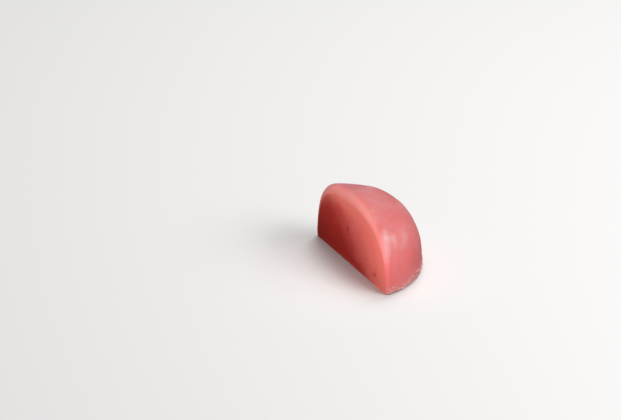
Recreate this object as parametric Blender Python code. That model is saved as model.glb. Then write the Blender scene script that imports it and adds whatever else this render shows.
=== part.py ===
"""Half of a pink mochi rice cake: a round cake cut with a knife, resting on its flat base.

Metres, +Z up. The origin is the middle of the base of the half's bounding box. The cut face
looks along -Y, the dome swells towards +Y, and +X is the end with the fuller shoulder.

The whole cake is a low round dome. Its soft dough was dragged down by the knife, so the rim
of the cut rolls over, deeply at the top and hardly at the base. The shell of rice dough and
the sweet filling inside it are two separate solids, cut by the same knife.
"""

import math
from dataclasses import dataclass, replace

import bmesh
import bpy
from mathutils import Matrix, Vector

# The whole cake before it was cut
CAKE_RADIUS = 0.02815
CAKE_HEIGHT = 0.0276
# Seen from above, 2 is a circle and less is a little flatter between the ends and the back
PLAN_FULLNESS = 1.9
# The shoulder's fullness seen from the side: 2 is a round ball, higher is boxier
SHOULDER_BACK = 2.65
SHOULDER_FRONT = 2.50
SHOULDER_REAR = 2.70
# The dough tucks in where it meets the table
WAIST_HEIGHT = 0.0030
TUCK = 0.00055

# The knife passed this far off the cake's middle, and the smaller piece is this one
KNIFE_OFFSET = 0.00295
ROLL_WIDTH = 0.0020
ROLL_TOP = 0.0038
ROLL_SIDE = 0.0008

# The shell of rice dough, thinnest where the filling presses it on the table
SHELL_SIDE = 0.0030
SHELL_TOP = 0.0028
SHELL_BASE = 0.0018
# The filling follows the roll of the rim only in part, so the shell thins towards the cut
FILLING_ROLL_SHARE = 0.85
GAP = 0.0003

# The mesh: meridians round the cut's normal, and rings that crowd towards the rim
OUTER_MERIDIANS, OUTER_RINGS = 88, 44
INNER_MERIDIANS, INNER_RINGS = 60, 32
RING_CROWDING = 1.6
RAY_HEIGHT = 0.0105
RAY_HALVINGS = 40
ON_PLANE = 0.00008

DEPTH = CAKE_RADIUS - KNIFE_OFFSET
ROW_CENTRE = Vector((0, KNIFE_OFFSET + DEPTH / 2, 0))

SHELL_COLOUR = (0.82, 0.24, 0.23, 1)
FILLING_COLOUR = (0.60, 0.12, 0.09, 1)


@dataclass(frozen=True)
class Dome:
    """A round dome with a rolled rim at the knife: the cake's outside, or the filling in it."""

    radius: float
    top: float
    floor: float
    roll_top: float
    roll_side: float


@dataclass(frozen=True)
class Dimple:
    """A soft hollow in the dough, or a swelling where its depth is negative.

    It lies in a direction from the rays' start, and its width is an angle in radians.
    """

    direction: tuple
    width: float
    depth: float


DIMPLES = (
    # the crown, from its rear end to the back of the dome
    Dimple((-0.93, 0.09, 0.34), 0.25, -0.00060),
    Dimple((-0.45, 0.10, 0.89), 0.30, 0.00055),
    Dimple((-0.23, 0.57, 0.79), 0.30, -0.00030),
    Dimple((0.15, 0.70, 0.70), 0.22, 0.00055),
    Dimple((0.21, 0.82, 0.54), 0.16, -0.00020),
    # the back's front half, down to the table
    Dimple((0.41, 0.82, 0.39), 0.25, 0.00036),
    Dimple((0.54, 0.83, 0.11), 0.24, -0.00018),
    Dimple((0.67, 0.69, -0.27), 0.25, 0.00020),
    # the front shoulder
    Dimple((0.87, 0.42, 0.25), 0.20, -0.00022),
    Dimple((0.98, 0.20, 0.03), 0.18, 0.00018),
    # the back's rear half
    Dimple((-0.45, 0.80, 0.40), 0.35, -0.00025),
    Dimple((-0.70, 0.65, 0.05), 0.30, 0.00030),
    Dimple((-0.10, 0.98, -0.05), 0.28, -0.00020),
)


def quarter_round(share):
    """1 at share 0, falling along a quarter circle to 0 at share 1 and beyond."""
    return 1 - math.sqrt(1 - (1 - min(max(share, 0), 1)) ** 2)


def shoulder_at(x, y):
    """The shoulder's fullness in the direction of x and y, seen from above."""
    lengthwise = x / max(math.hypot(x, y), 1e-9)
    end = SHOULDER_FRONT if lengthwise > 0 else SHOULDER_REAR
    return SHOULDER_BACK + (end - SHOULDER_BACK) * lengthwise**2


def outside(dome, point):
    """Above 0 outside the dome and below 0 inside it, for a point from the cake's middle."""
    x, y, z = point
    roll = quarter_round((y - KNIFE_OFFSET) / ROLL_WIDTH)
    tuck = TUCK * quarter_round((z - dome.floor) / WAIST_HEIGHT)
    along = abs(x / (dome.radius - dome.roll_side * roll - tuck))
    behind = abs(y / (dome.radius - tuck))
    plan = (along**PLAN_FULLNESS + behind**PLAN_FULLNESS) ** (1 / PLAN_FULLNESS)
    fullness = shoulder_at(x, y)
    return plan**fullness + abs(z / (dome.top - dome.roll_top * roll)) ** fullness - 1


def swelling(direction):
    """How far the soft dough stands out from the even dome in a direction."""
    total = 0
    for dimple in DIMPLES:
        apart = direction.angle(Vector(dimple.direction)) / dimple.width
        total -= dimple.depth * math.exp(-(apart**2))
    return total


def surface_point(dome, direction, dimpled):
    """Where a ray from inside the dome, on the knife's plane, leaves it."""
    start = Vector((0, KNIFE_OFFSET, RAY_HEIGHT))
    near, far = 0, 2 * CAKE_RADIUS
    for _ in range(RAY_HALVINGS):
        middle = (near + far) / 2
        if outside(dome, start + direction * middle) > 0:
            far = middle
        else:
            near = middle
    return start + direction * (near + (swelling(direction) if dimpled else 0))


def crowded(direction):
    """A direction turned towards the knife's plane, so that more rings lie near the rim."""
    along = math.copysign(abs(direction.y) ** RING_CROWDING, direction.y)
    across = math.hypot(direction.x, direction.z)
    if across < 1e-6:
        return Vector((0, along, 0))
    scale = math.sqrt(1 - along**2) / across
    return Vector((direction.x * scale, along, direction.z * scale))


def dome_mesh(name, dome, meridians, rings, dimpled=False, cut=True):
    """A dome with a flat base, on both sides of the knife, or with cut only behind it."""
    shape = bmesh.new()
    poles_along_y = Matrix.Rotation(math.pi / 2, 4, "X")
    bmesh.ops.create_uvsphere(
        shape, u_segments=meridians, v_segments=rings, radius=1, matrix=poles_along_y
    )
    for vertex in shape.verts:
        vertex.co = surface_point(dome, crowded(vertex.co.normalized()), dimpled) - ROW_CENTRE
    if cut:
        cut_off(shape, Vector((0, KNIFE_OFFSET, 0)) - ROW_CENTRE, Vector((0, -1, 0)))
    cut_off(shape, Vector((0, 0, dome.floor)), Vector((0, 0, -1)))
    bmesh.ops.recalc_face_normals(shape, faces=shape.faces)
    mesh = bpy.data.meshes.new(name)
    shape.to_mesh(mesh)
    shape.free()
    mesh.shade_smooth()
    mesh.set_sharp_from_angle(angle=math.radians(40))
    return mesh


def cut_off(shape, place, outward):
    """A flat cut: what lies outward of it goes, points near it move onto it, and it is closed."""
    for vertex in shape.verts:
        height = (vertex.co - place).dot(outward)
        if abs(height) < ON_PLANE:
            vertex.co -= outward * height
    result = bmesh.ops.bisect_plane(
        shape,
        geom=shape.verts[:] + shape.edges[:] + shape.faces[:],
        dist=1e-7,
        plane_co=place,
        plane_no=outward,
        clear_outer=True,
    )
    rim = [item for item in result["geom_cut"] if isinstance(item, bmesh.types.BMEdge)]
    bmesh.ops.contextual_create(shape, geom=rim)


def finish(name, colour, roughness):
    """A Principled material with one colour."""
    material = bpy.data.materials.new(name)
    material.use_nodes = True
    shader = material.node_tree.nodes["Principled BSDF"]
    shader.inputs["Base Color"].default_value = colour
    shader.inputs["Roughness"].default_value = roughness
    shader.inputs["Metallic"].default_value = 0
    material.diffuse_color = colour
    return material


def collection(name):
    """A new collection in the scene."""
    group = bpy.data.collections.new(name)
    bpy.context.scene.collection.children.link(group)
    return group


def add_object(name, mesh, group, material=None):
    """An object for a mesh, in a collection."""
    added = bpy.data.objects.new(name, mesh)
    group.objects.link(added)
    if material:
        mesh.materials.append(material)
    return added


def filling_dome():
    """The filling's outside, inside the shell."""
    return Dome(
        radius=CAKE_RADIUS - SHELL_SIDE,
        top=CAKE_HEIGHT - SHELL_TOP,
        floor=SHELL_BASE,
        roll_top=ROLL_TOP * FILLING_ROLL_SHARE,
        roll_side=ROLL_SIDE * FILLING_ROLL_SHARE,
    )


def pocket_dome(filling):
    """The room for the filling in the shell, a gap wider all round."""
    return replace(
        filling,
        radius=filling.radius + GAP,
        top=filling.top + GAP,
        floor=filling.floor - GAP,
    )


def build():
    """The shell of rice dough and the filling in it."""
    for old in list(bpy.data.objects):
        bpy.data.objects.remove(old)
    parts = collection("mochi_half")
    cutters = collection("cutters")

    cake = Dome(CAKE_RADIUS, CAKE_HEIGHT, 0, ROLL_TOP, ROLL_SIDE)
    filling = filling_dome()

    pocket = add_object(
        "pocket_cutter",
        dome_mesh("pocket_cutter", pocket_dome(filling), INNER_MERIDIANS, INNER_RINGS, cut=False),
        cutters,
    )
    pocket.hide_render = True
    pocket.display_type = "WIRE"

    skin = add_object(
        "skin",
        dome_mesh("skin", cake, OUTER_MERIDIANS, OUTER_RINGS, dimpled=True),
        parts,
        finish("rice_dough", SHELL_COLOUR, 0.45),
    )
    hollow = skin.modifiers.new("pocket for the filling", "BOOLEAN")
    hollow.operation = "DIFFERENCE"
    hollow.object = pocket

    add_object(
        "filling",
        dome_mesh("filling", filling, INNER_MERIDIANS, INNER_RINGS),
        parts,
        finish("sweet_filling", FILLING_COLOUR, 0.5),
    )


build()
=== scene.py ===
"""Dresses half of a pink mochi rice cake: soft rice dough round a moist red filling."""

from __future__ import annotations

import logging
import math
import random
from dataclasses import dataclass
from enum import Enum

import bmesh
import bpy
import numpy as np
from mathutils import Matrix, Vector, noise

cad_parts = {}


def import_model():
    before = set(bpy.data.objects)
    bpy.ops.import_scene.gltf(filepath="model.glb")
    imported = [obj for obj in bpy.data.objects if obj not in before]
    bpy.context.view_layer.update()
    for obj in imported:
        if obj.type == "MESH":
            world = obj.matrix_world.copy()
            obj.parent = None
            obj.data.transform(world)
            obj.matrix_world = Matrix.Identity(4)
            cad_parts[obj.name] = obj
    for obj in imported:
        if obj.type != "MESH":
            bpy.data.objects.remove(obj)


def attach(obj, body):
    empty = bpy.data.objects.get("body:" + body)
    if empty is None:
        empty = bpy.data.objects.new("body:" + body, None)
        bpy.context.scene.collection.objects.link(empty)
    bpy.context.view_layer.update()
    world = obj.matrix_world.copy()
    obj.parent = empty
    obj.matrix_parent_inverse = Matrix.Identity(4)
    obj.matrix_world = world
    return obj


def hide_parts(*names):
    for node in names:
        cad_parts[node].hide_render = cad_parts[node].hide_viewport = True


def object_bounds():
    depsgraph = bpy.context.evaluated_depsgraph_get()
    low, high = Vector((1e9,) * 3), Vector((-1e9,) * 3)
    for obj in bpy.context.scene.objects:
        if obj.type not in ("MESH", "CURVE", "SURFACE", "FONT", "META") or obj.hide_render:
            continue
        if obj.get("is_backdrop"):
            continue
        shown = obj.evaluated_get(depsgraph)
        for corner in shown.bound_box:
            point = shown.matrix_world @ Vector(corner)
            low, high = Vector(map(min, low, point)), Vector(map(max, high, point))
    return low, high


LOG = logging.getLogger("mochi")

MM = 0.001
PHOTO_WIDTH = 621
SENSOR_WIDTH = 36.0
# edges sharper than this are shaded as corners
SHARP_EDGE = math.radians(40)
# stands in for 0 in divisions
TINY = 1e-6
# a Mix node's colour sockets, whose names its other sockets have too
FIRST, SECOND, MIXED = 6, 7, 2

Span = tuple[float, float]
Xyz = tuple[float, float, float]
Colour = tuple[float, float, float, float]


class Zone(Enum):
    """The parts of a piece that its colours follow, each a point attribute from 0 to 1."""

    # painted glow of the thin dough by the cut, and the filling's seam
    PAINTED_GLOW_AND_SEAM = "rim"
    # the cut dough, and painted shade on the rim at its rear top and along its foot
    SECTION_AND_PAINTED_SHADE = "section"
    # the starch, with painted highlights on and beside the front shoulder
    BLOOM = "dust_and_highlights"
    # painted shade at the cut's rear end and base, with its blotches and mottle
    PAINTED_SHADE_AND_BLOTCHES = "painted_shade_and_blotches"


def linear(value: str) -> Colour:
    """Turns an sRGB hex colour into a linear one.

    Args:
        value: Six hex digits, such as "ec8783".

    Returns:
        Red, green, blue and an alpha of 1.
    """
    parts = [int(value[i : i + 2], 16) / 255 for i in (0, 2, 4)]
    made = [p / 12.92 if p <= 0.04045 else ((p + 0.055) / 1.055) ** 2.4 for p in parts]
    return (made[0], made[1], made[2], 1.0)


def quarter_round(share: np.ndarray) -> np.ndarray:
    """1 at share 0, falling along a quarter circle to 0 at share 1 and beyond."""
    return 1 - np.sqrt(np.maximum(1 - (1 - np.clip(share, 0, 1)) ** 2, 0))


def bell(distance: np.ndarray, width: float) -> np.ndarray:
    """1 at distance 0, falling softly to about a third at the width."""
    return np.exp(-((distance / width) ** 2))


def ramp(value: np.ndarray, start: float, end: float) -> np.ndarray:
    """0 at the start and 1 at the end, straight between them and level beyond them."""
    return np.clip((value - start) / (end - start), 0, 1)


def lumps(points: np.ndarray, size: float, seed: float) -> np.ndarray:
    """Smooth noise from about -1 to 1 at each point.

    Args:
        points: Places in metres, one a row.
        size: How far apart the lumps are, in metres.
        seed: Moves the noise, so that two patterns differ.

    Returns:
        One value for each point.
    """
    shift = Vector((seed, seed * 1.7, seed * 2.3))
    return np.array([noise.noise(Vector(p) / size + shift) for p in points])


@dataclass(frozen=True)
class Dimple:
    """A soft hollow in the dough, or a swelling where its depth is negative.

    It lies in a direction from the rays' start, and its width is an angle in radians.
    """

    direction: Xyz
    width: float
    depth: float


DIMPLES = (
    # the crown, from its rear end to the back of the dome
    Dimple((-0.93, 0.09, 0.34), 0.25, -0.60 * MM),
    Dimple((-0.45, 0.10, 0.89), 0.30, 0.55 * MM),
    Dimple((-0.23, 0.57, 0.79), 0.30, -0.30 * MM),
    Dimple((0.15, 0.70, 0.70), 0.22, 0.55 * MM),
    Dimple((0.21, 0.82, 0.54), 0.16, -0.20 * MM),
    # the back's front half, down to the table
    Dimple((0.41, 0.82, 0.39), 0.25, 0.36 * MM),
    Dimple((0.54, 0.83, 0.11), 0.24, -0.18 * MM),
    Dimple((0.67, 0.69, -0.27), 0.25, 0.20 * MM),
    # the front shoulder
    Dimple((0.87, 0.42, 0.25), 0.20, -0.22 * MM),
    Dimple((0.98, 0.20, 0.03), 0.18, 0.18 * MM),
    # the back's rear half
    Dimple((-0.45, 0.80, 0.40), 0.35, -0.25 * MM),
    Dimple((-0.70, 0.65, 0.05), 0.30, 0.30 * MM),
    Dimple((-0.10, 0.98, -0.05), 0.28, -0.20 * MM),
)


@dataclass(frozen=True)
class Layer:
    """A dome with a rolled rim at the knife: the cake's outside, or the filling in it."""

    radius: float
    top: float
    floor: float
    roll_top: float
    roll_side: float

    def grown(self, by: float) -> Layer:
        """The same layer, thicker all round."""
        return Layer(
            self.radius + by, self.top + by, self.floor - by, self.roll_top, self.roll_side
        )


@dataclass(frozen=True)
class CutCake:
    """The round cake's form and the knife's plane through it, as the solids have them."""

    radius: float = 28.15 * MM
    height: float = 27.6 * MM
    plan_fullness: float = 1.9
    shoulder_back: float = 2.65
    shoulder_front: float = 2.50
    shoulder_rear: float = 2.70
    waist_height: float = 3.0 * MM
    tuck: float = 0.55 * MM
    knife_offset: float = 2.95 * MM
    roll_width: float = 2.0 * MM
    roll_top: float = 3.8 * MM
    roll_side: float = 0.8 * MM
    shell_side: float = 3.0 * MM
    shell_top: float = 2.8 * MM
    shell_base: float = 1.8 * MM
    filling_roll_share: float = 0.85
    ray_height: float = 10.5 * MM
    ray_halvings: int = 30
    ring_crowding: float = 1.6
    base_sharpness: float = 180.0

    @property
    def start(self) -> np.ndarray:
        """Where the rays start: on the knife's plane, inside both layers."""
        return np.array([0.0, self.knife_offset, self.ray_height])

    @property
    def row_centre(self) -> np.ndarray:
        """The row frame's origin, seen from the whole cake's middle."""
        depth = self.radius - self.knife_offset
        return np.array([0.0, self.knife_offset + depth / 2, 0.0])

    def dough(self) -> Layer:
        """The cake's outside."""
        return Layer(self.radius, self.height, 0.0, self.roll_top, self.roll_side)

    def filling(self) -> Layer:
        """The filling's outside."""
        return Layer(
            self.radius - self.shell_side,
            self.height - self.shell_top,
            self.shell_base,
            self.roll_top * self.filling_roll_share,
            self.roll_side * self.filling_roll_share,
        )

    def outside(self, layer: Layer, points: np.ndarray) -> np.ndarray:
        """Tells which points lie outside a layer.

        Args:
            layer: The layer that they are tested against.
            points: Places from the whole cake's middle, one a row.

        Returns:
            A value for each point, above 0 outside and below 0 inside.
        """
        x, y, z = points.T
        roll = quarter_round((y - self.knife_offset) / self.roll_width)
        tuck = self.tuck * quarter_round((z - layer.floor) / self.waist_height)
        along = np.abs(x / (layer.radius - layer.roll_side * roll - tuck))
        behind = np.abs(y / (layer.radius - tuck))
        plan = (along**self.plan_fullness + behind**self.plan_fullness) ** (1 / self.plan_fullness)
        lengthwise = x / np.maximum(np.hypot(x, y), TINY)
        end = np.where(lengthwise > 0, self.shoulder_front, self.shoulder_rear)
        fullness = self.shoulder_back + (end - self.shoulder_back) * lengthwise**2
        height = np.abs(z / (layer.top - layer.roll_top * roll))
        return plan**fullness + height**fullness - 1

    def reach(self, layer: Layer, rays: np.ndarray) -> np.ndarray:
        """Finds how far each ray goes before it leaves a layer's dome or its flat base.

        Args:
            layer: The layer that the rays leave.
            rays: Unit directions, one a row.

        Returns:
            A length for each ray.
        """
        near = np.zeros(len(rays))
        far = np.full(len(rays), 2 * self.radius)
        for _ in range(self.ray_halvings):
            middle = (near + far) / 2
            out = self.outside(layer, self.start + rays * middle[:, None]) > 0
            far = np.where(out, middle, far)
            near = np.where(out, near, middle)
        down = np.maximum(-rays[:, 2], TINY)
        floor = (self.ray_height - layer.floor) / down
        sharp = self.base_sharpness
        return near * (1 + (near / floor) ** sharp) ** (-1 / sharp)

    def swelling(self, rays: np.ndarray) -> np.ndarray:
        """Adds up the dimples and swellings in the soft dough.

        Args:
            rays: Unit directions, one a row.

        Returns:
            How far the dough stands out from the even dome along each ray.
        """
        total = np.zeros(len(rays))
        for dimple in DIMPLES:
            towards = np.array(Vector(dimple.direction).normalized())
            apart = np.arccos(np.clip(rays @ towards, -1, 1))
            total -= dimple.depth * bell(apart, dimple.width)
        return total

    def crowded(self, share: np.ndarray) -> np.ndarray:
        """How far a ray leans to the back: 1 at share 0, and 0 at the rim, where rings are close."""
        return np.cos(np.clip(share, 0, 1) * math.pi / 2) ** self.ring_crowding


def leaning(directions: np.ndarray, lean: np.ndarray) -> np.ndarray:
    """Turns directions to a given lean away from the knife's plane.

    Args:
        directions: Unit directions, whose turn round the Y axis is kept.
        lean: The new Y of each.

    Returns:
        Unit directions, one a row.
    """
    across = np.hypot(directions[:, 0], directions[:, 2])
    flat = across < TINY
    across = np.where(flat, 1.0, across)
    side = np.sqrt(np.maximum(1 - lean**2, 0))
    x = np.where(flat, 1.0, directions[:, 0] / across) * side
    z = np.where(flat, 0.0, directions[:, 2] / across) * side
    return np.stack([x, lean, z], axis=1)


def ball(meridians: int, rings: int) -> tuple[bmesh.types.BMesh, np.ndarray, np.ndarray]:
    """A ball with its poles at the back and the front of the cut.

    Args:
        meridians: How many lines run from pole to pole.
        rings: How many bands lie between the poles.

    Returns:
        The ball, each point's direction, and its ring counted from the back pole.
    """
    shape = bmesh.new()
    turned = Matrix.Rotation(math.pi / 2, 4, "X")
    bmesh.ops.create_uvsphere(
        shape, u_segments=meridians, v_segments=rings, radius=1, matrix=turned
    )
    directions = np.array([vertex.co.normalized() for vertex in shape.verts])
    polar = np.arccos(np.clip(directions[:, 1], -1, 1)) / math.pi
    return shape, directions, np.rint(polar * rings)


def finished(
    name: str,
    shape: bmesh.types.BMesh,
    materials: tuple[bpy.types.Material, ...],
    zones: dict[Zone, np.ndarray] | None = None,
) -> bpy.types.Object:
    """Makes a smooth object of a shape, at the origin.

    Args:
        name: The piece's name.
        shape: The shape, which is freed.
        materials: The piece's finishes, in the order of its faces' material numbers.
        zones: A value from 0 to 1 for each point, for each zone.

    Returns:
        The new object, in the scene.
    """
    bmesh.ops.recalc_face_normals(shape, faces=shape.faces)
    mesh = bpy.data.meshes.new(name)
    shape.to_mesh(mesh)
    shape.free()
    mesh.shade_smooth()
    mesh.set_sharp_from_angle(angle=SHARP_EDGE)
    for zone, values in (zones or {}).items():
        layer = mesh.attributes.new(zone.value, "FLOAT", "POINT")
        layer.data.foreach_set("value", np.clip(values, 0, 1).astype(np.float32))
    for material in materials:
        mesh.materials.append(material)
    made = bpy.data.objects.new(name, mesh)
    bpy.context.scene.collection.objects.link(made)
    return made


def add_node(
    tree: bpy.types.NodeTree,
    kind: str,
    output: str | int,
    inputs: dict[str | int, object] | None = None,
    **settings: object,
) -> bpy.types.NodeSocket:
    """Adds a node with its settings, socket values and links.

    Args:
        tree: The material's nodes.
        kind: The node's type, without "ShaderNode".
        output: The output socket that is wanted.
        inputs: A value for each input socket, or the output socket that it is linked to.
        settings: Properties of the node.

    Returns:
        The output socket.
    """
    node = tree.nodes.new("ShaderNode" + kind)
    for name, value in settings.items():
        setattr(node, name, value)
    for name, value in (inputs or {}).items():
        if isinstance(value, bpy.types.NodeSocket):
            tree.links.new(value, node.inputs[name])
        else:
            node.inputs[name].default_value = value
    return node.outputs[output]


@dataclass(frozen=True)
class Finish:
    """What every finish has: a Principled surface in a new material."""

    name: str

    def shader(self) -> tuple[bpy.types.Material, bpy.types.NodeTree, bpy.types.Node]:
        """Starts a material.

        Returns:
            The material, its nodes, and its Principled shader.
        """
        material = bpy.data.materials.new(self.name)
        material.use_nodes = True
        tree = material.node_tree
        return material, tree, tree.nodes["Principled BSDF"]


@dataclass(frozen=True)
class RiceDough(Finish):
    """Cooked glutinous-rice dough, rolled and dusted: satin, translucent, pale pink."""

    name: str = "glutinous rice dough, rolled and dusted"
    body: str = "e56a6b"
    # the rim's painted glow, and the paler tone of the random mottle
    painted_glow_and_mottle: str = "f28f85"
    cut: str = "e17065"
    # the cut's painted shade, and its blotches
    painted_shade_and_blotches: str = "ac332b"
    # starch, and the painted highlights on the front shoulder
    starch: str = "f6dadb"
    gloss: float = 0.4
    velvet: float = 0.18
    velvet_tint: str = "e4eaff"
    depth: float = 0.4
    patch_size: float = 5.0 * MM
    # real starch is far finer, and is drawn as coarse as it needs to show
    starch_size: float = 0.6 * MM
    satin_size: float = 1.2 * MM
    grain_size: float = 0.5 * MM
    grain_depth: float = 0.1 * MM

    def build(self) -> bpy.types.Material:
        """Makes the material.

        Light sinks a few millimetres into the dough, and the orange-pink glow of its thin rim is
        painted into its colour as well. The dust of starch makes the crown paler and velvety,
        highlights on the front shoulder are painted in the starch's colour, and painted shade
        deepens the cut's red at its rear end and base.

        Returns:
            The new material.
        """
        material, tree, shader = self.shader()
        place = add_node(tree, "TexCoord", "Object")
        rim, section, dust_and_highlights, painted_shade_and_blotches = (
            add_node(tree, "Attribute", "Fac", attribute_name=zone.value) for zone in Zone
        )
        patches = add_node(
            tree, "TexNoise", "Fac", {"Vector": place, "Scale": 1 / self.patch_size, "Detail": 2}
        )
        mottle = add_node(tree, "MapRange", "Result", {"Value": patches, "To Max": 0.25})
        # the cut's colour, deepened by painted shade at its rear end and base
        sockets = {0: painted_shade_and_blotches, FIRST: linear(self.cut), SECOND: linear(self.painted_shade_and_blotches)}
        inside = add_node(tree, "Mix", MIXED, sockets, data_type="RGBA")
        grains = add_node(
            tree, "TexNoise", "Fac", {"Vector": place, "Scale": 1 / self.starch_size, "Detail": 2}
        )
        powder = add_node(
            tree,
            "MapRange",
            "Result",
            {"Value": grains, "From Min": 0.35, "From Max": 0.7, "To Min": 0.8, "To Max": 1.25},
        )
        # the starch's share, with the painted highlights among it
        dusted = add_node(
            tree, "Math", "Value", {0: dust_and_highlights, 1: powder}, operation="MULTIPLY", use_clamp=True
        )
        colour = linear(self.body)
        painted_glow_and_mottle, starch = linear(self.painted_glow_and_mottle), linear(self.starch)
        # random mottle, the rim's painted glow, the cut with its painted shade, and the starch with
        # its painted highlights
        for share, over in ((mottle, painted_glow_and_mottle), (rim, painted_glow_and_mottle), (section, inside), (dusted, starch)):
            sockets = {0: share, FIRST: colour, SECOND: over}
            colour = add_node(tree, "Mix", MIXED, sockets, data_type="RGBA")
        tree.links.new(colour, shader.inputs["Base Color"])
        satin = add_node(
            tree, "TexNoise", "Fac", {"Vector": place, "Scale": 1 / self.satin_size, "Detail": 3}
        )
        rough = add_node(
            tree, "MapRange", "Result", {"Value": satin, "To Min": 0.38, "To Max": 0.50}
        )
        tree.links.new(rough, shader.inputs["Roughness"])
        grain = add_node(
            tree, "TexNoise", "Fac", {"Vector": place, "Scale": 1 / self.grain_size, "Detail": 3}
        )
        sockets = {"Height": grain, "Strength": 0.25, "Distance": self.grain_depth}
        relief = add_node(tree, "Bump", "Normal", sockets)
        tree.links.new(relief, shader.inputs["Normal"])
        shader.inputs["IOR"].default_value = 1.45
        shader.inputs["Subsurface Weight"].default_value = self.depth
        shader.inputs["Subsurface Radius"].default_value = (1.0, 0.35, 0.25)
        shader.inputs["Subsurface Scale"].default_value = 1.2 * MM
        shader.inputs["Specular IOR Level"].default_value = self.gloss
        shader.inputs["Sheen Weight"].default_value = self.velvet
        shader.inputs["Sheen Tint"].default_value = linear(self.velvet_tint)
        shader.inputs["Sheen Roughness"].default_value = 0.4
        return material


DUSTED_DOUGH = RiceDough()
CUT_DOUGH = RiceDough(name="glutinous rice dough, cut", gloss=0.25, velvet=0.0, depth=0.1)


@dataclass(frozen=True)
class RedPaste(Finish):
    """Sweet red paste, smooth from the knife: moist, dense and a deeper red."""

    name: str = "sweet red paste, cut smooth"
    body: str = "dd685f"
    # the cut's painted shade, and its blotches
    deep: str = "ac2e28"
    dough: str = "e17065"
    mottle_size: float = 1.6 * MM
    satin_size: float = 0.9 * MM
    grain_size: float = 0.6 * MM
    grain_depth: float = 0.1 * MM

    def build(self) -> bpy.types.Material:
        """Makes the material, a moist satin that is faintly mottled and redder than the dough, with
        painted shade at the cut's rear end and base.

        Returns:
            The new material.
        """
        material, tree, shader = self.shader()
        place = add_node(tree, "TexCoord", "Object")
        rim, painted_shade_and_blotches = (
            add_node(tree, "Attribute", "Fac", attribute_name=zone.value)
            for zone in (Zone.PAINTED_GLOW_AND_SEAM, Zone.PAINTED_SHADE_AND_BLOTCHES)
        )
        specks = add_node(
            tree, "TexNoise", "Fac", {"Vector": place, "Scale": 1 / self.mottle_size, "Detail": 3}
        )
        mottle = add_node(
            tree, "MapRange", "Result", {"Value": specks, "To Min": -0.08, "To Max": 0.12}
        )
        # painted shade at the rear end and base, with the blotches and the paste's own mottle
        deeper = add_node(
            tree, "Math", "Value", {0: painted_shade_and_blotches, 1: mottle}, operation="ADD", use_clamp=True
        )
        colour = linear(self.body)
        for share, over in ((rim, linear(self.dough)), (deeper, linear(self.deep))):
            sockets = {0: share, FIRST: colour, SECOND: over}
            colour = add_node(tree, "Mix", MIXED, sockets, data_type="RGBA")
        tree.links.new(colour, shader.inputs["Base Color"])
        satin = add_node(
            tree, "TexNoise", "Fac", {"Vector": place, "Scale": 1 / self.satin_size, "Detail": 3}
        )
        rough = add_node(
            tree, "MapRange", "Result", {"Value": satin, "To Min": 0.36, "To Max": 0.5}
        )
        tree.links.new(rough, shader.inputs["Roughness"])
        grain = add_node(
            tree, "TexNoise", "Fac", {"Vector": place, "Scale": 1 / self.grain_size, "Detail": 4}
        )
        sockets = {"Height": grain, "Strength": 0.35, "Distance": self.grain_depth}
        relief = add_node(tree, "Bump", "Normal", sockets)
        tree.links.new(relief, shader.inputs["Normal"])
        shader.inputs["IOR"].default_value = 1.45
        shader.inputs["Specular IOR Level"].default_value = 0.25
        shader.inputs["Subsurface Weight"].default_value = 0.3
        shader.inputs["Subsurface Radius"].default_value = (1.0, 0.25, 0.18)
        shader.inputs["Subsurface Scale"].default_value = 1.0 * MM
        return material


@dataclass(frozen=True)
class BeanSkin(Finish):
    """Bits of bean skin in the paste: dark red and matt."""

    name: str = "boiled bean skin"
    body: str = "a03029"
    pale: str = "b0443a"
    mottle_size: float = 0.4 * MM

    def build(self) -> bpy.types.Material:
        """Makes the material, a dark red fleck that the light hardly enters.

        Returns:
            The new material.
        """
        material, tree, shader = self.shader()
        place = add_node(tree, "TexCoord", "Object")
        mottle = add_node(
            tree, "TexNoise", "Fac", {"Vector": place, "Scale": 1 / self.mottle_size, "Detail": 2}
        )
        sockets = {0: mottle, FIRST: linear(self.body), SECOND: linear(self.pale)}
        colour = add_node(tree, "Mix", MIXED, sockets, data_type="RGBA")
        tree.links.new(colour, shader.inputs["Base Color"])
        shader.inputs["Roughness"].default_value = 0.55
        return material


@dataclass(frozen=True)
class Starch(Finish):
    """Potato starch, dusted on: fine and dry, and pink where it took up the dough's damp."""

    name: str = "potato starch, dusted"
    body: str = "efbcb6"
    thin: str = "e39d97"
    mottle_size: float = 0.3 * MM

    def build(self) -> bpy.types.Material:
        """Makes the material, dry and matt, so that it shows no glint.

        Returns:
            The new material.
        """
        material, tree, shader = self.shader()
        place = add_node(tree, "TexCoord", "Object")
        mottle = add_node(
            tree, "TexNoise", "Fac", {"Vector": place, "Scale": 1 / self.mottle_size, "Detail": 2}
        )
        sockets = {0: mottle, FIRST: linear(self.body), SECOND: linear(self.thin)}
        colour = add_node(tree, "Mix", MIXED, sockets, data_type="RGBA")
        tree.links.new(colour, shader.inputs["Base Color"])
        shader.inputs["Roughness"].default_value = 0.9
        return material


@dataclass(frozen=True)
class Tabletop(Finish):
    """Matt white laminate, under the sweet."""

    name: str = "matt white laminate"
    pale: str = "e8e7e6"
    dark: str = "3a2c2b"

    def build(self) -> bpy.types.Material:
        """Makes the material.

        It is plain and pale to the camera, so that only soft shadows show on it, and dark to the
        sweet, so that it throws no pale light up at the cut.

        Returns:
            The new material.
        """
        material, tree, shader = self.shader()
        seen = add_node(tree, "LightPath", "Is Camera Ray")
        sockets = {0: seen, FIRST: linear(self.dark), SECOND: linear(self.pale)}
        colour = add_node(tree, "Mix", MIXED, sockets, data_type="RGBA")
        tree.links.new(colour, shader.inputs["Base Color"])
        shader.inputs["Roughness"].default_value = 0.7
        shader.inputs["Specular IOR Level"].default_value = 0.0
        return material


@dataclass(frozen=True)
class PalePatch:
    """A paler patch on the dome, in the starch's colour: a place in the row frame, a radius, a
    strength. Those on and beside the front shoulder are painted highlights.
    """

    place: Xyz
    radius: float
    strength: float


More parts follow.
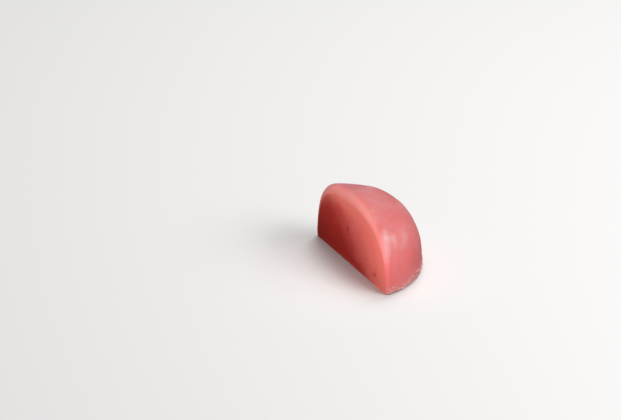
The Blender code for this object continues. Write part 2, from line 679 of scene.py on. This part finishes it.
PALE_PATCHES = (
    # a painted highlight: a pale streak down the front shoulder, just behind the rim
    PalePatch((12.7 * MM, -11.0 * MM, 25.6 * MM), 1.2 * MM, 0.08),
    PalePatch((15.7 * MM, -11.0 * MM, 24.4 * MM), 1.1 * MM, 0.12),
    PalePatch((17.3 * MM, -10.9 * MM, 23.5 * MM), 1.0 * MM, 0.12),
    PalePatch((20.6 * MM, -9.9 * MM, 20.7 * MM), 1.2 * MM, 0.24),
    PalePatch((21.9 * MM, -10.7 * MM, 19.6 * MM), 1.4 * MM, 0.24),
    PalePatch((22.3 * MM, -9.8 * MM, 18.9 * MM), 1.3 * MM, 0.20),
    PalePatch((23.2 * MM, -11.0 * MM, 17.9 * MM), 1.5 * MM, 0.26),
    PalePatch((24.5 * MM, -10.9 * MM, 16.0 * MM), 1.5 * MM, 0.30),
    PalePatch((25.4 * MM, -11.2 * MM, 14.1 * MM), 1.3 * MM, 0.20),
    PalePatch((26.1 * MM, -11.5 * MM, 12.1 * MM), 1.1 * MM, 0.14),
    # shorter painted highlights beside it
    PalePatch((21.4 * MM, -7.4 * MM, 18.9 * MM), 1.2 * MM, 0.18),
    PalePatch((22.2 * MM, -7.1 * MM, 17.7 * MM), 1.2 * MM, 0.18),
    PalePatch((23.6 * MM, -7.2 * MM, 15.8 * MM), 1.0 * MM, 0.10),
    PalePatch((19.6 * MM, -1.5 * MM, 17.1 * MM), 1.7 * MM, 0.20),
    PalePatch((21.3 * MM, -2.7 * MM, 15.8 * MM), 1.4 * MM, 0.12),
    PalePatch((22.7 * MM, -4.1 * MM, 14.7 * MM), 1.4 * MM, 0.10),
    # the crown
    PalePatch((-3.1 * MM, -4.2 * MM, 26.5 * MM), 1.3 * MM, 0.10),
    PalePatch((-0.6 * MM, -6.7 * MM, 27.1 * MM), 3.0 * MM, 0.10),
    PalePatch((1.7 * MM, -0.4 * MM, 25.4 * MM), 2.4 * MM, 0.14),
)


@dataclass(frozen=True)
class DustAndHighlights:
    """The dust of starch on the dome: thin and patchy, thinner by the rim, thicker at the foot, with
    paler patches and painted highlights added.
    """

    strength: float = 0.19
    even: float = 0.7
    large: float = 0.5
    large_size: float = 6.0 * MM
    small: float = 0.3
    small_size: float = 2.5 * MM
    full_height: float = 21.23 * MM
    low_share: float = 0.5
    # less dust lies by the rim, above all at its front end
    bare_depth: float = 3.0 * MM
    bare_rear: float = 0.25
    bare_span: Span = (-8.0 * MM, 8.0 * MM)
    foot: float = 0.30
    foot_height: float = 2.6 * MM
    foot_even: float = 0.6
    foot_patches: float = 0.6
    foot_patch_size: float = 1.5 * MM

    def at(self, places: np.ndarray, behind: np.ndarray) -> np.ndarray:
        """Tells how thick the dust lies, with the paler patches and painted highlights added.

        Args:
            places: Points on the dome in the row frame, one a row.
            behind: How far each lies behind the cut.

        Returns:
            A value for each point, from about 0 to 1.
        """
        x, _, z = places.T
        dust = self.even + self.large * lumps(places, self.large_size, seed=5.5)
        dust += self.small * lumps(places, self.small_size, seed=7.7)
        dust *= self.strength * np.clip(z / self.full_height, self.low_share, 1)
        bare = np.maximum(ramp(x, *self.bare_span), self.bare_rear)
        dust *= 1 - bell(behind, self.bare_depth) * bare
        ragged = self.foot_patches * lumps(places, self.foot_patch_size, seed=9.9)
        dust += self.foot * bell(z, self.foot_height) * (self.foot_even + ragged)
        # paler patches, among them painted highlights on and beside the front shoulder
        for patch in PALE_PATCHES:
            apart = np.linalg.norm(places - np.array(patch.place), axis=1)
            dust += patch.strength * bell(apart, patch.radius)
        return dust


@dataclass(frozen=True)
class KnifeFace:
    """The relief that the knife left on the cut, in the dough and the filling alike."""

    skim: float = 0.02 * MM
    fade: float = 1.5 * MM
    streak_height: float = 0.07 * MM
    streak_spacing: float = 1.3 * MM
    streak_length: float = 8.0
    streak_slope: float = math.radians(20)
    wave_height: float = 0.12 * MM
    wave_size: float = 9.0 * MM

    def streaks(self, face: np.ndarray) -> np.ndarray:
        """Tells how strong the knife's streaks are.

        Args:
            face: Points on the cut, one a row.

        Returns:
            A value for each point, from about -1 to 1.
        """
        cos, sin = math.cos(self.streak_slope), math.sin(self.streak_slope)
        across = face[:, 2] * cos - face[:, 0] * sin
        along = face[:, 0] * cos + face[:, 2] * sin
        flow = np.stack([along / self.streak_length, face[:, 1] * 0, across], axis=1)
        return lumps(flow, self.streak_spacing, seed=2.2)

    def depth(self, face: np.ndarray, from_edge: np.ndarray) -> np.ndarray:
        """How far the cut lies behind the knife's plane.

        Args:
            face: Points on the plane, seen from the whole cake's middle.
            from_edge: How far each is from the cake's outline.

        Returns:
            A depth for each point, always above 0.
        """
        streaks = 0.5 + 0.5 * self.streaks(face)
        waves = 0.5 + 0.5 * lumps(face, self.wave_size, seed=4.4)
        inside = 1 - bell(from_edge, self.fade)
        return self.skim + (self.streak_height * streaks + self.wave_height * waves) * inside


@dataclass(frozen=True)
class Blotch:
    """A darker spot in the cut: its place on the knife's plane, its radius and its strength."""

    x: float
    z: float
    radius: float
    strength: float


BLOTCHES = (
    Blotch(-2.8 * MM, 12.7 * MM, 1.1 * MM, 0.40),
    Blotch(18.2 * MM, 4.0 * MM, 0.9 * MM, 0.55),
    Blotch(16.6 * MM, 3.2 * MM, 0.8 * MM, 0.30),
)


@dataclass(frozen=True)
class DeepRed:
    """Where the cut is a deeper red: painted shade at its rear end and along its base, and a few
    blotches. Under the rim's upper part painted light makes it paler.
    """

    # painted shade, which fades from the rear foot towards the front and, faster, the top, and lies
    # along the base
    slope: float = 1.2
    span: Span = (-2.0 * MM, 28.0 * MM)
    base: float = 0.3
    base_height: float = 2.5 * MM
    # the base's painted shade fades again towards the front end
    base_loss: float = 1.2
    base_span: Span = (7.2 * MM, 28.8 * MM)
    # painted light: under the rim's upper part the cut is paler
    half_width: float = 27.6 * MM
    top: float = 24.0 * MM
    fullness: float = 2.7
    rim: float = 0.55
    rim_span: Span = (0.5, 0.9)
    rim_heights: Span = (10.0 * MM, 20.0 * MM)
    mottle: float = 0.12
    mottle_size: float = 5.0 * MM
    streaks: float = 0.08
    knife: KnifeFace = KnifeFace()

    def at(self, places: np.ndarray) -> np.ndarray:
        """Tells how deep a red the cut is, painted shade and light included.

        Args:
            places: Points on the cut in the row frame, one a row.

        Returns:
            A value for each point, from about 0 to 1.
        """
        x, _, z = places.T
        share = ramp(x + self.slope * z, *self.span)
        deep = 1 - share * share * (3 - 2 * share)
        low = self.base * bell(z, self.base_height)
        deep += low * (1 - self.base_loss * ramp(x, *self.base_span))
        deep += self.mottle * lumps(places, self.mottle_size, seed=6.6)
        deep += self.streaks * self.knife.streaks(places)
        # up to about 1 at the outline of the cut
        out = np.abs(x / self.half_width) ** self.fullness + np.abs(z / self.top) ** self.fullness
        deep -= self.rim * ramp(out, *self.rim_span) * ramp(z, *self.rim_heights)
        for blotch in BLOTCHES:
            apart = np.hypot(x - blotch.x, z - blotch.z)
            deep += blotch.strength * bell(apart, blotch.radius)
        return deep


@dataclass
class DoughShell:
    """The shell of rice dough: dome, rolled rim, cut section and the pocket for the filling."""

    cake: CutCake
    meridians: int = 320
    dome_rings: int = 112
    section_rings: int = 10
    pocket_rings: int = 30
    overlap: float = 0.1 * MM
    # soft lumps with finer ones on them, down to where the dough settled on the table
    lump_height: float = 0.10 * MM
    lump_size: float = 7.0 * MM
    fine_height: float = 0.35
    fineness: float = 3.0
    lowered: float = 0.6
    settled: float = 4.0 * MM
    margin: float = 0.06 * MM
    step_back: float = 0.015 * MM
    step_width: float = 0.25 * MM
    rim_width: float = 1.4 * MM
    rim_fade: float = 0.45 * MM
    # the rim's glow is painted into its colour, less at its foot and where the front end is thick
    painted_glow_heights: Span = (0.0, 17.25 * MM)
    thick_loss: float = 0.85
    thick_end: Span = (11.9 * MM, 25.9 * MM)
    # painted shade: at the rear top, and along the foot, the rim is as deep a red as the cut
    rear_top_shade: float = 0.95
    rear_top_shade_width: float = 2.4 * MM
    rear_top_shade_span: Span = (16.0 * MM, -4.0 * MM)
    rear_top_shade_heights: Span = (11.04 * MM, 24.84 * MM)
    foot_red_height: float = 0.8 * MM
    foot_red_depth: float = 0.5 * MM
    knife: KnifeFace = KnifeFace()

    def build(self) -> bpy.types.Object:
        """Shapes the shell from one ball, whose front half is folded in to line the pocket.

        Returns:
            The finished piece.
        """
        rings = self.dome_rings + self.section_rings + self.pocket_rings
        shape, directions, ring = ball(self.meridians, rings)
        cake = self.cake
        outer = cake.dough()
        inner = cake.filling().grown(-self.overlap)

        dome_rays = leaning(directions, cake.crowded(ring / self.dome_rings))
        dome = cake.start + dome_rays * self.dome_reach(outer, dome_rays)[:, None]

        rim_rays = leaning(directions, np.zeros(len(ring)))
        rim = self.dome_reach(outer, rim_rays)
        edge = cake.reach(inner, rim_rays)
        share = np.clip((ring - self.dome_rings) / self.section_rings, 0, 1)
        section = cake.start + rim_rays * (rim + (edge - rim) * share)[:, None]
        from_edge = (rim - edge) * share
        step = self.step_back * bell((rim - edge) * (1 - share), self.step_width)
        section[:, 1] += (self.knife.depth(section, from_edge) + step) * (share > 0)

        lining_share = (rings - ring) / self.pocket_rings
        pocket_rays = leaning(directions, cake.crowded(lining_share))
        pocket = cake.start + pocket_rays * cake.reach(inner, pocket_rays)[:, None]
        hidden = cake.knife_offset + self.knife.wave_height + self.knife.streak_height
        pocket[:, 1] = np.maximum(pocket[:, 1], hidden)

        on_dome = ring <= self.dome_rings
        in_pocket = ring > self.dome_rings + self.section_rings
        places = np.where(on_dome[:, None], dome, np.where(in_pocket[:, None], pocket, section))
        places -= cake.row_centre
        for vertex, place in zip(shape.verts, places):
            vertex.co = place
        shape.verts.index_update()
        for face in shape.faces:
            face.material_index = 0 if all(on_dome[v.index] for v in face.verts) else 1
        finishes = (DUSTED_DOUGH.build(), CUT_DOUGH.build())
        rim_places = cake.start + rim_rays * rim[:, None] - cake.row_centre
        from_rim = np.linalg.norm(places - rim_places, axis=1)
        zones = self.zones(places, on_dome, from_rim)
        return finished("dough_shell", shape, finishes, zones)

    def dome_reach(self, outer: Layer, rays: np.ndarray) -> np.ndarray:
        """Finds the dome's surface, with its dimples and lumps.

        Args:
            outer: The cake's outside.
            rays: Unit directions, one a row.

        Returns:
            How far the surface is along each ray.
        """
        even = self.cake.reach(outer, rays)
        places = rays * even[:, None]
        soft = lumps(places, self.lump_size, seed=3.1)
        soft += self.fine_height * lumps(places, self.lump_size / self.fineness, seed=8.7)
        above = ramp(self.cake.ray_height + places[:, 2], 0, self.settled)
        relief = self.cake.swelling(rays) + self.lump_height * (soft - self.lowered)
        return even + (relief - self.margin) * above

    def zones(
        self, places: np.ndarray, on_dome: np.ndarray, from_rim: np.ndarray
    ) -> dict[Zone, np.ndarray]:
        """Where the rim's painted glow, the section with the rim's painted shade, the starch with
        its painted highlights, and the cut's painted shade are.

        Args:
            places: The shell's points in the row frame.
            on_dome: Which of them lie on the dome.
            from_rim: How far each lies from the rim, on the dome or on the cut.

        Returns:
            A value from 0 to 1 for each point, for each zone.
        """
        x, y, z = places.T
        behind = y - (self.cake.knife_offset - self.cake.row_centre[1])
        rear_top = ramp(x, *self.rear_top_shade_span) * ramp(z, *self.rear_top_shade_heights)
        rear_top_shade = self.rear_top_shade * rear_top * bell(from_rim, self.rear_top_shade_width)
        foot = bell(z, self.foot_red_height) * bell(behind, self.foot_red_depth)
        section = np.where(on_dome, 0, 1 - bell(from_rim, self.rim_fade))
        thin = 1 - self.thick_loss * ramp(x, *self.thick_end)
        return {
            Zone.PAINTED_GLOW_AND_SEAM: bell(behind, self.rim_width) * ramp(z, *self.painted_glow_heights) * thin,
            Zone.SECTION_AND_PAINTED_SHADE: np.maximum(section, np.maximum(rear_top_shade, foot)),
            Zone.BLOOM: DustAndHighlights().at(places, behind) * on_dome,
            Zone.PAINTED_SHADE_AND_BLOTCHES: DeepRed().at(places),
        }

    def dress(self, piece: bpy.types.Object) -> None:
        """Hides the solid that the piece replaces, and says what it moves with.

        Args:
            piece: The finished piece.
        """
        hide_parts("skin")
        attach(piece, "root")


@dataclass
class Filling:
    """The red filling, whose face is flush with the cut."""

    cake: CutCake
    meridians: int = 288
    back_rings: int = 40
    face_rings: int = 96
    seam_fade: float = 2.5 * MM
    knife: KnifeFace = KnifeFace()

    def build(self) -> bpy.types.Object:
        """Shapes the filling from one ball, whose front half is pressed flat by the knife.

        Returns:
            The finished piece.
        """
        rings = self.back_rings + self.face_rings
        shape, directions, ring = ball(self.meridians, rings)
        cake = self.cake
        layer = cake.filling()

        back_rays = leaning(directions, cake.crowded(ring / self.back_rings))
        back = cake.start + back_rays * cake.reach(layer, back_rays)[:, None]

        rim_rays = leaning(directions, np.zeros(len(ring)))
        rim = cake.reach(layer, rim_rays)
        inward = np.clip((ring - self.back_rings) / self.face_rings, 0, 1)
        face = cake.start + rim_rays * (rim * (1 - inward))[:, None]
        from_seam = rim * inward
        from_edge = DoughShell(cake).dome_reach(cake.dough(), rim_rays) - rim + from_seam
        face[:, 1] += self.knife.depth(face, from_edge)
        behind = cake.knife_offset + self.knife.wave_height + self.knife.streak_height
        back[:, 1] = np.maximum(back[:, 1], behind)

        on_back = ring < self.back_rings
        places = np.where(on_back[:, None], back, face) - cake.row_centre
        for vertex, place in zip(shape.verts, places):
            vertex.co = place
        zones = {
            Zone.PAINTED_GLOW_AND_SEAM: np.where(on_back, 1.0, bell(from_seam, self.seam_fade)),
            Zone.PAINTED_SHADE_AND_BLOTCHES: DeepRed().at(places),
        }
        return finished("red_filling", shape, (RedPaste().build(),), zones)

    def dress(self, piece: bpy.types.Object) -> None:
        """Hides the solid that the piece replaces, and says what it moves with.

        Args:
            piece: The finished piece.
        """
        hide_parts("filling")
        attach(piece, "root")


@dataclass(frozen=True)
class Fleck:
    """A bit that shows in the cut: its place on the knife's plane and its radius."""

    x: float
    z: float
    radius: float


@dataclass
class BeanFlecks:
    """Bits of bean skin in the filling, cut flush with its face."""

    cake: CutCake
    seed: int = 11
    count: int = 22
    smallest: float = 0.10 * MM
    largest: float = 0.32 * MM
    thickness: float = 0.05 * MM
    narrowness: Span = (0.45, 0.9)
    from_seam: float = 1.0 * MM
    knife: KnifeFace = KnifeFace()
    seen: tuple[Fleck, ...] = (
        Fleck(-2.8 * MM, 12.9 * MM, 0.50 * MM),
        Fleck(-3.2 * MM, 11.8 * MM, 0.30 * MM),
        Fleck(18.2 * MM, 4.2 * MM, 0.45 * MM),
        Fleck(16.6 * MM, 3.6 * MM, 0.25 * MM),
    )

    def build(self) -> bpy.types.Object:
        """Scatters the flecks over the filling's face.

        Returns:
            The finished piece, all flecks in one mesh.
        """
        chance = random.Random(self.seed)
        flecks = list(self.seen)
        layer = self.cake.filling().grown(-self.from_seam)
        while len(flecks) < self.count:
            x = chance.uniform(-layer.radius, layer.radius)
            z = chance.uniform(layer.floor, layer.top)
            radius = self.smallest + (self.largest - self.smallest) * chance.random() ** 2
            if self.cake.outside(layer, np.array([[x, self.cake.knife_offset, z]]))[0] < 0:
                flecks.append(Fleck(x, z, radius))
        spots = np.array([[fleck.x, self.cake.knife_offset, fleck.z] for fleck in flecks])
        far_in = np.full(len(flecks), self.cake.radius)
        spots[:, 1] += self.knife.depth(spots, far_in)
        shape = bmesh.new()
        for fleck, spot in zip(flecks, spots - self.cake.row_centre):
            turned = Matrix.Rotation(chance.uniform(0, math.tau), 4, "Y")
            flat, narrow = self.thickness / fleck.radius, chance.uniform(*self.narrowness)
            stretch = Matrix.Diagonal((1, flat, narrow, 1))
            where = Matrix.Translation(Vector(spot)) @ turned @ stretch
            bmesh.ops.create_icosphere(shape, subdivisions=2, radius=fleck.radius, matrix=where)
        return finished("bean_flecks", shape, (BeanSkin().build(),))

    def dress(self, piece: bpy.types.Object) -> None:
        """Says what the piece moves with."""
        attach(piece, "root")


@dataclass
class StarchDust:
    """Crumbs of starch that stuck to the dough: along its foot, and a clump on the crown.

    Headings are in radians from +X towards +Y. The coarse crumbs and the clots lie at the
    front of the foot, and no crumb leaves the box, which is the solids' own.
    """

    cake: CutCake
    box: tuple[Vector, Vector]
    seed: int = 7
    foot_count: int = 900
    front_count: int = 420
    clot_count: int = 110
    dome_count: int = 120
    clump_count: int = 100
    smallest: float = 0.035 * MM
    largest: float = 0.15 * MM
    coarse: float = 2.0
    clotted: float = 3.0
    stretches: Span = (0.7, 1.3)
    unevenness: Span = (0.75, 1.2)
    foot_headings: Span = (0.0, math.pi)
    coarse_headings: Span = (0.0, 1.2)
    clot_headings: Span = (0.1, 1.25)
    foot_start: float = 0.1 * MM
    foot_height: float = 2.6 * MM
    dome_turns: Span = (-0.3, math.pi + 0.3)
    dome_leans: Span = (0.12, 1.0)
    clump_direction: Xyz = (-0.23, 0.50, 0.83)
    clump_spread: Xyz = (0.045, 0.03, 0.03)

    def build(self) -> bpy.types.Object:
        """Scatters the crumbs on the dome.

        Returns:
            The finished piece, all crumbs in one mesh.
        """
        chance = random.Random(self.seed)
        coarse = self.foot_rays(chance, self.front_count, self.coarse_headings)
        coarse += self.clump_rays(chance)
        fine = self.foot_rays(chance, self.foot_count, self.foot_headings)
        fine += self.dome_rays(chance)
        clots = self.foot_rays(chance, self.clot_count, self.clot_headings)
        directions = np.array(coarse + fine + clots)
        scales = [self.coarse] * len(coarse) + [1.0] * len(fine)
        scales += [self.clotted] * len(clots)
        reach = DoughShell(self.cake).dome_reach(self.cake.dough(), directions)
        places = self.cake.start + directions * reach[:, None] - self.cake.row_centre
        grain = bmesh.new()
        bmesh.ops.create_icosphere(grain, subdivisions=1, radius=1)
        corners = [vertex.co.copy() for vertex in grain.verts]
        one = bpy.data.meshes.new("starch_crumb")
        grain.to_mesh(one)
        grain.free()
        shape = bmesh.new()
        for _ in places:
            shape.from_mesh(one)
        bpy.data.meshes.remove(one)
        vertices = iter(shape.verts)
        low, high = self.box
        for place, scale in zip(places, scales):
            size = self.smallest + (self.largest - self.smallest) * chance.random() ** 4
            size *= scale
            stretch = Vector([chance.uniform(*self.stretches) for _ in range(3)])
            for corner in corners:
                uneven = chance.uniform(*self.unevenness)
                spot = Vector(place) + corner * stretch * size * uneven
                next(vertices).co = [min(max(spot[i], low[i]), high[i]) for i in range(3)]
        return finished("starch_crumbs", shape, (Starch().build(),))

    def ray(self, turn: float, lean: float) -> Xyz:
        """A direction by its turn round the Y axis and its lean to the back."""
        side = math.sqrt(1 - lean**2)
        return (math.cos(turn) * side, lean, math.sin(turn) * side)

    def foot_rays(self, chance: random.Random, count: int, headings: Span) -> list[Xyz]:
        """Rays to the foot of the dome, thickest near the table.

        Args:
            chance: Where the random numbers come from.
            count: How many rays are made.
            headings: The first and the last heading, in radians from +X towards +Y.

        Returns:
            The rays' directions.
        """
        found = []
        foot = self.cake.ray_height
        while len(found) < count:
            heading = chance.uniform(*headings)
            out = Vector((math.cos(heading), math.sin(heading), 0)) * self.cake.radius
            height = self.foot_start + self.foot_height * chance.random() ** 2
            found.append(tuple(Vector((out.x, out.y, height - foot)).normalized()))
        return found

    def dome_rays(self, chance: random.Random) -> list[Xyz]:
        """Picks rays to single crumbs all over the dome.

        Args:
            chance: Where the random numbers come from.

        Returns:
            The rays' directions.
        """
        return [
            self.ray(chance.uniform(*self.dome_turns), chance.uniform(*self.dome_leans))
            for _ in range(self.dome_count)
        ]

    def clump_rays(self, chance: random.Random) -> list[Xyz]:
        """Picks rays to the clump on the crown.

        Args:
            chance: Where the random numbers come from.

        Returns:
            The rays' directions.
        """
        middle = Vector(self.clump_direction).normalized()
        found = []
        for _ in range(self.clump_count):
            apart = Vector([chance.gauss(0, spread) for spread in self.clump_spread])
            found.append(tuple((middle + apart).normalized()))
        return found

    def dress(self, piece: bpy.types.Object) -> None:
        """Says what the piece moves with."""
        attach(piece, "root")


@dataclass(frozen=True)
class PhotoCamera:
    """The camera as it stood: angles in degrees, the rest in metres."""

    azimuth: float = 64.2
    elevation: float = 24.5
    distance: float = 1.0
    pixels_per_metre: float = 2713.0
    right_of_middle: float = 14.265 * MM
    nearer_than_middle: float = 46.48 * MM
    nearest: float = 10.0 * MM

    def build(self, target: Vector) -> bpy.types.Object:
        """Places the camera.

        Args:
            target: The middle of the cut face's lower edge, which the offsets start from.

        Returns:
            The camera, made the scene's own.
        """
        turn, rise = math.radians(self.azimuth), math.radians(self.elevation)
        right = Vector((math.cos(turn), math.sin(turn), 0))
        back = Vector(
            (math.sin(turn) * math.cos(rise), -math.cos(turn) * math.cos(rise), math.sin(rise))
        )
        up = back.cross(right)
        place = (
            target
            - right * self.right_of_middle
            + up * self.nearer_than_middle * math.sin(rise)
            + back * (self.distance - self.nearer_than_middle * math.cos(rise))
        )
        data = bpy.data.cameras.new("camera")
        data.sensor_width = SENSOR_WIDTH
        data.lens = self.pixels_per_metre * self.distance * SENSOR_WIDTH / PHOTO_WIDTH
        data.clip_start = self.nearest
        camera = bpy.data.objects.new("camera", data)
        axes = Matrix((right, up, back)).transposed()
        camera.matrix_world = Matrix.Translation(place) @ axes.to_4x4()
        bpy.context.scene.collection.objects.link(camera)
        bpy.context.scene.camera = camera
        return camera


@dataclass(frozen=True)
class SoftBox:
    """A square studio light that faces a spot of the sweet; angles in degrees."""

    name: str
    azimuth: float
    elevation: float
    distance: float
    side: float
    watts: float
    aim: Xyz = (0.0, 0.0, 12.0 * MM)

    def build(self, lit: bpy.types.Collection | None = None) -> bpy.types.Object:
        """Places the light.

        Args:
            lit: What it lights, where that isn't everything.

        Returns:
            The light.
        """
        data = bpy.data.lights.new(self.name, "AREA")
        data.shape = "SQUARE"
        data.size = self.side
        data.energy = self.watts
        # with it, lamps that light only some pieces would add up to more than their light
        data.cycles.use_multiple_importance_sampling = False
        light = bpy.data.objects.new(self.name, data)
        turn, rise = math.radians(self.azimuth), math.radians(self.elevation)
        direction = Vector(
            (math.cos(turn) * math.cos(rise), math.sin(turn) * math.cos(rise), math.sin(rise))
        )
        light.location = Vector(self.aim) + direction * self.distance
        light.rotation_euler = direction.to_track_quat("Z", "Y").to_euler()
        light.visible_camera = False
        light.light_linking.receiver_collection = lit
        bpy.context.scene.collection.objects.link(light)
        return light


# places in the row frame that the close lamps are aimed at
FRONT_END = (26.0 * MM, -12.6 * MM, 16.0 * MM)
FRONT_FOOT = (26.0 * MM, -11.0 * MM, 12.0 * MM)
CUT_TOP = (8.0 * MM, -12.6 * MM, 24.0 * MM)
REAR_TOP = (-15.0 * MM, -12.6 * MM, 21.0 * MM)


@dataclass(frozen=True)
class Studio:
    """A pale table in plain soft light, with small lamps close to the cut and its front end."""

    floor_side: float = 6.0
    white: str = "ffffff"
    world_strength: float = 0.02
    # azimuth, elevation, distance, side, watts, and what the close lamps are aimed at
    overhead: tuple[SoftBox, ...] = (
        SoftBox("softbox_right", 30, 35, 0.9, 0.45, 4.3),
        SoftBox("softbox_behind", 60, 35, 0.9, 0.45, 1.7),
        SoftBox("softbox_back", 140, 60, 0.9, 0.45, 3.6),
    )
    close: tuple[SoftBox, ...] = (
        SoftBox("lamp_over_cut", -90, 32, 0.025, 0.015, 0.0023, CUT_TOP),
        SoftBox("lamp_before_cut", -80, 0, 0.03, 0.018, 0.0103, FRONT_END),
        SoftBox("lamp_at_rear", -95, 12, 0.03, 0.018, 0.0063, REAR_TOP),
        SoftBox("lamp_at_end", 14, 5, 0.03, 0.018, 0.0036, FRONT_FOOT),
    )
    table: SoftBox = SoftBox("softbox_table", 0, 90, 1.2, 1.2, 6.5)

    def build(self, pieces: list[bpy.types.Object]) -> None:
        """Makes the floor, the world's light and the lamps.

        Args:
            pieces: What the close lamps light, so that they leave no spots on the floor.
        """
        shape = bmesh.new()
        bmesh.ops.create_grid(shape, x_segments=1, y_segments=1, size=self.floor_side / 2)
        floor = finished("floor", shape, (Tabletop().build(),))
        floor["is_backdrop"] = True
        world = bpy.data.worlds.new("studio")
        world.use_nodes = True
        backdrop = world.node_tree.nodes["Background"]
        backdrop.inputs["Color"].default_value = linear(self.white)
        backdrop.inputs["Strength"].default_value = self.world_strength
        bpy.context.scene.world = world
        bpy.context.scene.view_settings.view_transform = "Standard"
        sweet = bpy.data.collections.new("sweet")
        for piece in pieces:
            sweet.objects.link(piece)
        for box in self.overhead:
            box.build()
        for box in self.close:
            box.build(sweet)
        tables = bpy.data.collections.new("table")
        tables.objects.link(floor)
        self.table.build(tables)


def report(piece: bpy.types.Object) -> None:
    """Logs a piece's name and how many faces it has."""
    LOG.info("%s: %d faces", piece.name, len(piece.data.polygons))


def main() -> None:
    """Builds and dresses every piece in order."""
    logging.basicConfig(level=logging.INFO, format="%(message)s")
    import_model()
    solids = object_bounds()
    cake = CutCake()
    target = Vector((0, cake.knife_offset - cake.row_centre[1], 0))
    PhotoCamera().build(target)
    pieces = []
    for part in (DoughShell(cake), Filling(cake), BeanFlecks(cake), StarchDust(cake, solids)):
        piece = part.build()
        part.dress(piece)
        report(piece)
        pieces.append(piece)
    Studio().build(pieces)


if __name__ == "__main__":
    main()
